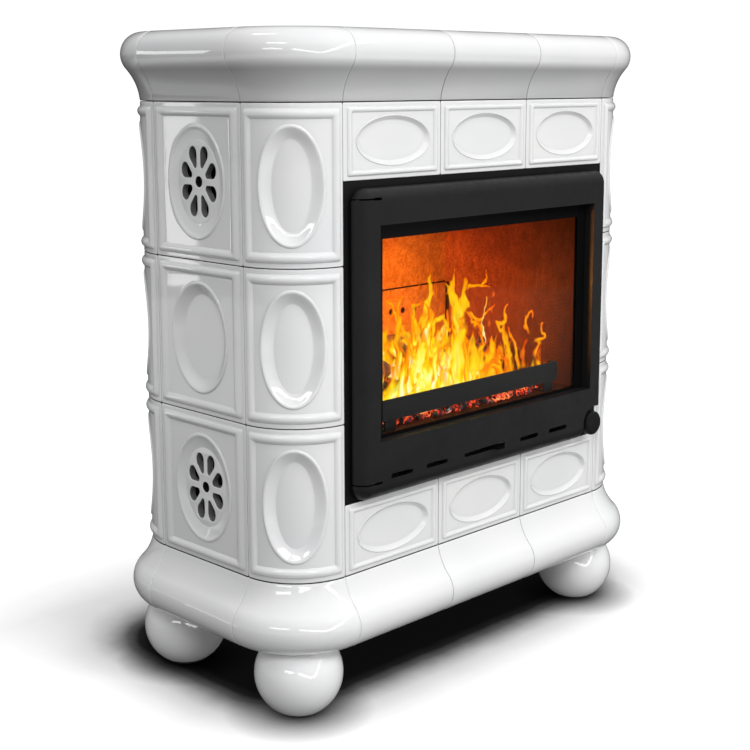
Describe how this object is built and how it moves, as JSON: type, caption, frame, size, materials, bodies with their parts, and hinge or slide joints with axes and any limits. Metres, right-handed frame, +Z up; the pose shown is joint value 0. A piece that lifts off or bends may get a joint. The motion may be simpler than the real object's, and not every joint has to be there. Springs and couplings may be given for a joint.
{
  "type": "tiled stove",
  "caption": "Free-standing stove clad in white glazed relief tiles with round corners, rolled cornice and plinth, ball feet and a wide black glass fire door.",
  "frame": {"origin": "middle of the overall footprint (air lever tab included) at floor level", "axes": "+Z up, front with the fire door faces -Y, +X to the right when one looks at the front"},
  "size_m": [0.952, 0.518, 1.097],
  "materials": {
    "white_glaze": "glossy white glaze",
    "black_paint": "matte heat-proof black",
    "black_cast": "matte black",
    "fire_lining": "pressed mineral board",
    "door_glass": "clear, with a printed black border",
    "rope": "woven glass rope",
    "pad_rubber": "matte",
    "zinc_steel": "zinc plated",
    "dark_steel": "matte dark grey",
    "grey_panel": "matte grey"
  },
  "bodies": {
    "stove": {"air_duct": "dark_steel", "ash_pan": "dark_steel", "back_brackets": "dark_steel", "back_panel": "grey_panel", "back_panel_screws": "zinc_steel", "baffle_board": "fire_lining", "base_frame": "dark_steel", "casing_top": "dark_steel", "corner_tiles_back_left": "white_glaze", "corner_tiles_back_right": "white_glaze", "corner_tiles_front_left": "white_glaze", "corner_tiles_front_right": "white_glaze", "corner_uprights": "dark_steel", "cornice_back_tiles": "white_glaze", "cornice_corner_tiles": "white_glaze", "cornice_front_tiles": "white_glaze", "cornice_side_tiles": "white_glaze", "door_surround": "black_paint", "firebox_casing": "dark_steel", "flue_collar": "dark_steel", "foot_back_left": "white_glaze", "foot_back_right": "white_glaze", "foot_front_left": "white_glaze", "foot_front_right": "white_glaze", "foot_pads": "pad_rubber", "front_lintel": "dark_steel", "front_lower_tiles": "white_glaze", "front_upper_tiles": "white_glaze", "grate": "black_cast", "hinge_pins": "zinc_steel", "insert_legs": "dark_steel", "latch_keeper": "zinc_steel", "leg_bolts": "zinc_steel", "liner_back": "fire_lining", "liner_floor": "fire_lining", "liner_left": "fire_lining", "liner_right": "fire_lining", "log_retainer": "black_paint", "plinth_back_tiles": "white_glaze", "plinth_corner_tiles": "white_glaze", "plinth_front_tiles": "white_glaze", "plinth_side_tiles": "white_glaze", "shutter_guides": "zinc_steel", "side_plain_tiles": "white_glaze", "side_rails": "dark_steel", "side_vent_tiles": "white_glaze", "top_frame": "dark_steel", "top_plate": "grey_panel"},
    "door": {"door_skin": "black_paint", "door_inner_frame": "black_paint", "hinge_bushes": "zinc_steel", "door_glass": "door_glass", "glass_clips": "zinc_steel", "door_gasket": "rope"},
    "latch": {"knob": "black_cast", "latch_shaft": "zinc_steel"},
    "air_slide": {"air_shutter": "zinc_steel", "air_lever": "black_cast"}
  },
  "joints": [
    {"name": "door_hinge", "type": "hinge", "parent": "stove", "child": "door", "pos_m": [-0.309, -0.226, 0.612], "axis": [0, 0, -1], "range_deg": [0, 100]},
    {"name": "latch_turn", "type": "hinge", "parent": "door", "child": "latch", "pos_m": [0.288, -0.234, 0.383], "axis": [0, -1, 0], "range_deg": [0, 90]},
    {"name": "air_slide_x", "type": "slide", "parent": "stove", "child": "air_slide", "axis": [1, 0, 0], "range_m": [-0.07, 0.013]}
  ]
}
